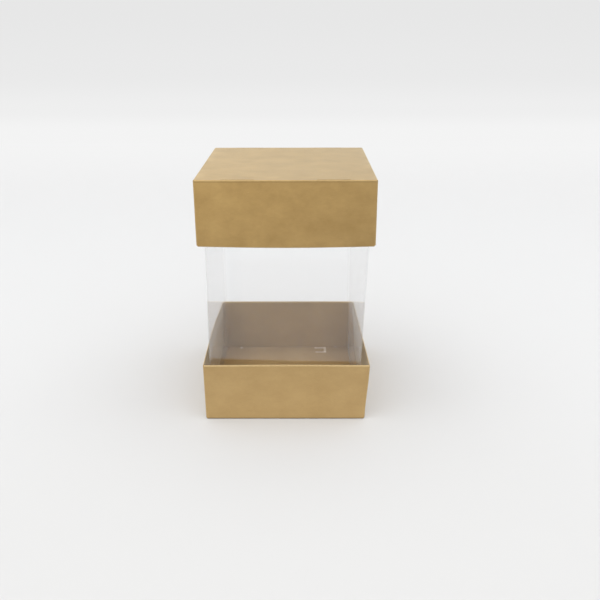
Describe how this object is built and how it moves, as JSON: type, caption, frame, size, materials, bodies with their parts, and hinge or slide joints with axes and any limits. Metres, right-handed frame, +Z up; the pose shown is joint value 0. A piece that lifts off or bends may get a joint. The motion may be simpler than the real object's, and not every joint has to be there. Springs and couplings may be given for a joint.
{
  "type": "gift box",
  "caption": "Small upright gift box: folded kraft board tray and lift-off lid, joined by a clear square sleeve that shows what is inside.",
  "frame": {"origin": "on the ground, under the middle of the base tray", "axes": "+Z up through the lid, +X to the right and +Y to the back, with the sleeve's glued seam at the back left"},
  "size_m": [0.08, 0.08, 0.12],
  "materials": {
    "kraft_board": "matt uncoated solid kraft board with fine fibres",
    "clear_sheet": "clear glossy sheet, creased at the corners",
    "seam_adhesive": "dried clear adhesive, faintly hazy"
  },
  "bodies": {
    "base": {"base_floor_panel": "kraft_board", "base_front_outer_wall": "kraft_board", "base_front_rim_fold": "kraft_board", "base_front_inner_wall": "kraft_board", "base_back_outer_wall": "kraft_board", "base_back_rim_fold": "kraft_board", "base_back_inner_wall": "kraft_board", "base_left_wall": "kraft_board", "base_right_wall": "kraft_board", "base_front_left_corner_flap": "kraft_board", "base_front_right_corner_flap": "kraft_board", "base_back_left_corner_flap": "kraft_board", "base_back_right_corner_flap": "kraft_board"},
    "sleeve": {"sleeve_front_panel": "clear_sheet", "sleeve_right_panel": "clear_sheet", "sleeve_back_panel": "clear_sheet", "sleeve_left_panel": "clear_sheet", "sleeve_glue_flap": "clear_sheet", "sleeve_seam_adhesive": "seam_adhesive"},
    "lid": {"lid_top_panel": "kraft_board", "lid_front_outer_wall": "kraft_board", "lid_front_rim_fold": "kraft_board", "lid_front_inner_wall": "kraft_board", "lid_back_outer_wall": "kraft_board", "lid_back_rim_fold": "kraft_board", "lid_back_inner_wall": "kraft_board", "lid_left_wall": "kraft_board", "lid_right_wall": "kraft_board", "lid_front_left_corner_flap": "kraft_board", "lid_front_right_corner_flap": "kraft_board", "lid_back_left_corner_flap": "kraft_board", "lid_back_right_corner_flap": "kraft_board"}
  },
  "joints": [
    {"name": "sleeve_lift", "type": "slide", "parent": "base", "child": "sleeve", "axis": [0, 0, 1], "range_m": [0, 0.045]},
    {"name": "lid_lift", "type": "slide", "parent": "sleeve", "child": "lid", "axis": [0, 0, 1], "range_m": [0, 0.045]}
  ]
}
